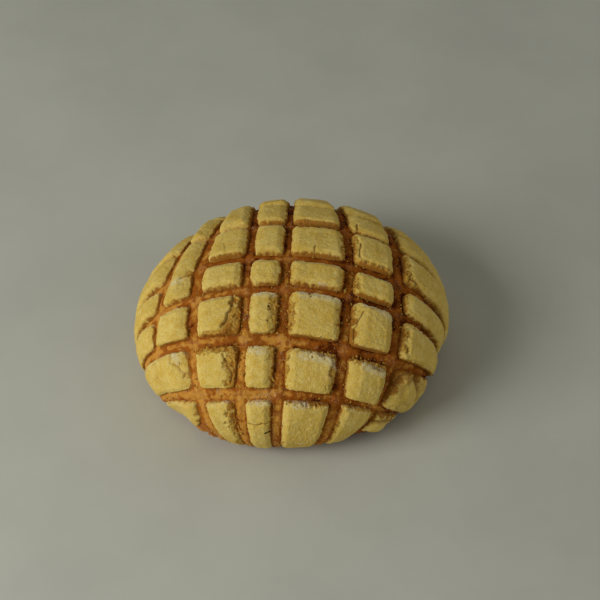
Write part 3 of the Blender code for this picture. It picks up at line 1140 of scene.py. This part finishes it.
def scattered(name, centres, radii, shape, faces, seed, material):
    """Many small grains of paste or sugar as one piece, each turned and squeezed in its own way."""
    random = np.random.default_rng(seed)
    points, polygons = [], []
    for centre, radius in zip(np.vstack(centres), np.concatenate(radii)):
        squeeze = random.uniform(0.45, 1.1, 3)
        bumps = 1 + random.uniform(-0.3, 0.3, (len(shape), 1))
        points.append(centre + radius * (shape * squeeze * bumps) @ random_turn(random))
        polygons.append(faces + len(shape) * len(polygons))
    mesh_object(name, np.vstack(points), np.vstack(polygons).tolist(), {}, material, [])


def crumb_shape():
    """A cube with each side cut in four, rounded towards a ball: its points and quads."""
    marks = (-1, 0, 1)
    lattice = [(a, b, c) for a in marks for b in marks for c in marks if any((a, b, c))]
    number = {place: index for index, place in enumerate(lattice)}
    quads = []
    for axis in range(3):
        for side in (-1, 1):
            outward = side if axis != 1 else -side
            for a in (-1, 0):
                for b in (-1, 0):
                    loop = [(a, b), (a + 1, b), (a + 1, b + 1), (a, b + 1)][::outward]
                    quads.append([number[tuple(np.insert(corner, axis, side))] for corner in loop])
    shape = np.array(lattice, dtype=float)
    return shape / np.linalg.norm(shape, axis=1, keepdims=True) ** 0.5, np.array(quads)


def crystal_shape():
    """A point on each side of each axis and the eight triangles between them."""
    shape = np.vstack([np.eye(3), -np.eye(3)])
    triangles = []
    for signs in np.ndindex(2, 2, 2):
        corners = [axis + 3 * sign for axis, sign in enumerate(signs)]
        triangles.append(corners if sum(signs) % 2 == 0 else corners[::-1])
    return shape, np.array(triangles)


def random_turn(random):
    """A random rotation matrix."""
    turn, _ = np.linalg.qr(random.normal(size=(3, 3)))
    return turn * np.sign(np.linalg.det(turn))


def surface_height(first, last, u, v):
    """Crust map place of (u, v) in or beside a tile, the height of what shows there, and its marks."""
    s, t, height, marks = tile_surface(first, last, u, v)
    bare, _ = crust_relief(*undrape(s, t), s, t)
    on_tile = (u > 0) & (u < 1) & (v > 0) & (v < 1)
    return s, t, np.maximum(bare, np.where(on_tile, height, bare)), marks


def make_crumbs(name, count, largest, seed, material):
    """Crumbs of paste in the cuts and on the torn strips, most of them beside the edges that broke."""
    random = np.random.default_rng(seed)
    centres, radii = [], []
    tiles = list(all_tiles())
    for first, last in tiles:
        torn = np.array(TORN.get(first, (0, 0, 0, 0))) + EVERYWHERE
        share = torn.sum() / (TORN_SUM + 4 * EVERYWHERE)
        number = int(count / len(tiles) * min(share, MOST_CRUMBS))
        side = random.choice(4, size=number, p=torn / torn.sum())
        off_edge = random.normal(*CRUMBS_OFF_EDGE, number)
        along = random.uniform(0, 1, number)
        u = np.choose(side, [off_edge, 1 - off_edge, along, along])
        v = np.choose(side, [along, along, off_edge, 1 - off_edge])
        s, t, height, _ = surface_height(first, last, u, v)
        radius = largest * random.uniform(0.35, 1, number) ** 1.5
        centres.append(bread_point(s, t, height + CRUMB_REST * radius))
        radii.append(radius)
    scattered(name, centres, radii, *crumb_shape(), seed + 1, material)


def make_sugar(material):
    """Sugar grains: thick where the paste is dusted, a few elsewhere on the tiles and in the cuts."""
    look = bpy.context.scene.concha_paste
    random = np.random.default_rng(21)
    centres, radii = [], []
    for first, last in all_tiles():
        tries = int(look.sugar_density * np.prod(tile_size(first, last)) * (1 + 2 * SUGAR_SPILL) ** 2)
        u, v = random.uniform(-SUGAR_SPILL, 1 + SUGAR_SPILL, (2, tries))
        on_tile = np.maximum(np.abs(u - 0.5), np.abs(v - 0.5)) < 0.5
        s, t, height, marks = surface_height(first, last, u, v)
        radius = random.uniform(*SUGAR_RADII, tries)
        kept = random.random(tries) < np.where(on_tile, SPARSE_SUGAR + marks["sugared"], CUT_SUGAR)
        kept &= np.where(on_tile, height > SUGARED_PASTE, np.hypot(s, t) < SHEET - SUGAR_SETBACK)
        centres.append(bread_point(s, t, height + SUGAR_REST * radius)[kept])
        radii.append(radius[kept])
    for s0, t0, spread in FALLEN_SUGAR:
        s, t = random.normal((s0, t0), spread, (FALLEN_GRAINS, 2)).T
        height, _ = crust_relief(*undrape(s, t), s, t)
        radius = random.uniform(*SUGAR_RADII, FALLEN_GRAINS)
        centres.append(bread_point(s, t, height + FALLEN_REST * radius))
        radii.append(radius)
    scattered("sugar_grains", centres, radii, *crystal_shape(), 22, material)


def a_length(name, description, default):
    """A length that the user can change, in metres."""
    return FloatProperty(
        name=name, description=description, default=default, subtype="DISTANCE", unit="LENGTH", precision=5
    )


def a_colour(name, description, default):
    """A colour that the user can change."""
    return FloatVectorProperty(name=name, description=description, default=default, subtype="COLOR")


def a_number(name, description, default, **kind):
    """A number that the user can change."""
    return FloatProperty(name=name, description=description, default=default, **kind)


class ConchaPaste(bpy.types.PropertyGroup):
    """Sizes and colours of the sugar paste."""

    mesh_step: a_length("Mesh step", "Distance between the vertices of a tile", 0.00031)
    edge_radius: a_length("Edge radius", "Rounding of a tile's upper edge", 0.002)
    crack_depth: a_length("Crack depth", "Depth of the widest cracks", 0.0008)
    crumb_radius: a_length("Crumb radius", "Radius of the largest crumbs", 0.00042)
    crumb_count: IntProperty(name="Crumbs", description="Number of crumbs of each colour", default=600)
    sugar_density: a_number("Sugar", "Grains on a dusted square millimetre", 6.0)
    colour: a_colour("Paste", "The paste where the oven left it alone", (0.76, 0.52, 0.098))
    pale_colour: a_colour("Pale paste", "Its paler clouds", (0.82, 0.60, 0.15))
    deep_colour: a_colour("Deep paste", "Its deeper mottling", (0.66, 0.40, 0.045))
    grain_colour: a_colour("Grains", "Grains of sugar in the paste", (0.88, 0.74, 0.33))
    crumb_colour: a_colour("Torn paste", "The paste's inside and its crumbs", (0.70, 0.41, 0.058))
    toast_colour: a_colour("Toasted paste", "Thin and low paste, browned", (0.39, 0.135, 0.009))
    crack_colour: a_colour("Cracks", "The depth of the cracks", (0.24, 0.085, 0.007))
    sugar_colour: a_colour("Sugar", "Loose grains of sugar", (0.9, 0.86, 0.64))
    scorch_colour: a_colour("Scorched specks", "Burnt specks", (0.02, 0.012, 0.006))


class ConchaCrust(bpy.types.PropertyGroup):
    """Sizes and colours of the bread."""

    mesh_step: a_length("Mesh step", "Distance between the vertices of the crust", 0.00062)
    colour: a_colour("Crust", "Well baked crust", (0.385, 0.110, 0.009))
    pale_colour: a_colour("Pale crust", "Golden crust, at the front and the left", (0.70, 0.325, 0.048))
    # This colour also serves the painted shade along a tile's foot and on the shaded side of each cut.
    dark_colour: a_colour("Dark crust", "Crust beside the paste and at the right", (0.105, 0.016, 0.0003))
    # Partly the paler stretched crust, partly a painted pinkish highlight.
    strand_and_sheen_colour: a_colour("Stretched crust", "Strands where two cuts cross", (0.62, 0.28, 0.115))


class ConchaStage(bpy.types.PropertyGroup):
    """Floor, light and camera."""

    floor_colour: a_colour("Floor", "The floor", (0.58, 0.585, 0.5))
    key_power: a_number("Key light", "Power of the soft light", 4.25, unit="POWER")
    fill_strength: a_number("Fill light", "Strength of the sky", 0.19)
    elevation: a_number("Camera elevation", "Angle over the floor", np.radians(48), subtype="ANGLE")
    distance: a_length("Camera distance", "Distance from the roll's middle", 0.553)
    lens: a_number("Lens", "Focal length", 90.0, unit="CAMERA")


class CONCHA_OT_bread(bpy.types.Operator):
    """Makes the bread"""

    bl_idname = "concha.bread"
    bl_label = "Bread"

    def execute(self, context):
        make_bread(crust_finish())
        return {"FINISHED"}


class CONCHA_OT_tiles(bpy.types.Operator):
    """Makes the tiles of sugar paste"""

    bl_idname = "concha.tiles"
    bl_label = "Paste tiles"

    def execute(self, context):
        material = paste_finish()
        for first, last in all_tiles():
            make_tile(first, last, material)
        return {"FINISHED"}


class CONCHA_OT_crumbs(bpy.types.Operator):
    """Scatters crumbs of paste"""

    bl_idname = "concha.crumbs"
    bl_label = "Crumbs"

    def execute(self, context):
        look = context.scene.concha_paste
        largest = look.crumb_radius / MM
        pale = plain_finish("crumb_paste", look.crumb_colour, 0.85, 1.2, 0.45)
        make_crumbs("paste_crumbs", look.crumb_count, largest, 11, pale)
        brown = plain_finish("toasted_crumb_paste", look.toast_colour, 0.85, 1.2, 0.5)
        make_crumbs("toasted_crumbs", look.crumb_count, 0.8 * largest, 13, brown)
        return {"FINISHED"}


class CONCHA_OT_sugar(bpy.types.Operator):
    """Scatters grains of sugar"""

    bl_idname = "concha.sugar"
    bl_label = "Sugar"

    def execute(self, context):
        make_sugar(plain_finish("white_sugar", context.scene.concha_paste.sugar_colour, 0.5, 0.6, 0.15))
        return {"FINISHED"}


class CONCHA_OT_stage(bpy.types.Operator):
    """Makes the floor, the lights and the camera"""

    bl_idname = "concha.stage"
    bl_label = "Stage"

    def execute(self, context):
        for make in (make_floor, make_lights, make_camera):
            make(context.scene.concha_stage)
        return {"FINISHED"}


def make_floor(stage):
    """A wide pale floor."""
    bpy.ops.mesh.primitive_plane_add(size=FLOOR_SIZE)
    floor = bpy.context.active_object
    floor.name = "floor"
    floor.data.materials.append(plain_finish("pale_floor", stage.floor_colour, 0.8, 60, 0.08))


def area_light(name, power, size, place):
    """A square soft light that shines from place towards MIDDLE."""
    data = bpy.data.lights.new(name, "AREA")
    data.energy = power
    data.size = size
    light = placed(name, data)
    light.location = place
    offset = np.subtract(place, MIDDLE)
    flat = np.hypot(offset[0], offset[1])
    light.rotation_euler = (np.arctan2(flat, offset[2]), 0, np.arctan2(offset[1], offset[0]) + np.pi / 2)


def make_lights(stage):
    """A large soft key from the left, a dim reflector at the right, and a pale sky."""
    area_light("key", stage.key_power, KEY_SIZE, KEY_PLACE)
    area_light("reflector", REFLECTOR_SHARE * stage.key_power, REFLECTOR_SIZE, REFLECTOR_PLACE)
    world = bpy.data.worlds.new("sky")
    world.use_nodes = True
    background = world.node_tree.nodes["Background"]
    background.inputs["Color"].default_value = SKY_COLOUR
    background.inputs["Strength"].default_value = stage.fill_strength
    bpy.context.scene.world = world


def make_camera(stage):
    """The camera at the photograph's viewing angle."""
    data = bpy.data.cameras.new("camera")
    data.lens = stage.lens
    data.clip_start = 0.01
    camera = placed("camera", data)
    back = np.array([0, -np.cos(stage.elevation), np.sin(stage.elevation)])
    up = np.array([0, np.sin(stage.elevation), np.cos(stage.elevation)])
    aim = np.array(MIDDLE) + AIM_UP * up + np.array([AIM_RIGHT, 0, 0])
    camera.location = aim + back * stage.distance
    camera.rotation_euler = (np.pi / 2 - stage.elevation, 0, 0)
    bpy.context.scene.camera = camera
    bpy.context.scene.view_settings.view_transform = "Standard"


class CONCHA_PT_panel(bpy.types.Panel):
    """Lists the steps and the settings"""

    bl_label = "Concha"
    bl_idname = "CONCHA_PT_panel"
    bl_space_type = "VIEW_3D"
    bl_region_type = "UI"
    bl_category = "Concha"

    def draw(self, context):
        for operator in OPERATORS:
            self.layout.operator(operator.bl_idname)
        for name in GROUPS:
            settings = getattr(context.scene, name)
            for setting in settings.__annotations__:
                self.layout.prop(settings, setting)


OPERATORS = (CONCHA_OT_bread, CONCHA_OT_tiles, CONCHA_OT_crumbs, CONCHA_OT_sugar, CONCHA_OT_stage)
GROUPS = {"concha_paste": ConchaPaste, "concha_crust": ConchaCrust, "concha_stage": ConchaStage}


def register():
    for name, group in GROUPS.items():
        bpy.utils.register_class(group)
        setattr(bpy.types.Scene, name, PointerProperty(type=group))
    for shown in (*OPERATORS, CONCHA_PT_panel):
        bpy.utils.register_class(shown)


def unregister():
    for shown in (CONCHA_PT_panel, *reversed(OPERATORS)):
        bpy.utils.unregister_class(shown)
    for name, group in GROUPS.items():
        delattr(bpy.types.Scene, name)
        bpy.utils.unregister_class(group)


def main():
    register()
    bpy.ops.concha.bread()
    bpy.ops.concha.tiles()
    bpy.ops.concha.crumbs()
    bpy.ops.concha.sugar()
    bpy.ops.concha.stage()


if __name__ == "__main__":
    main()
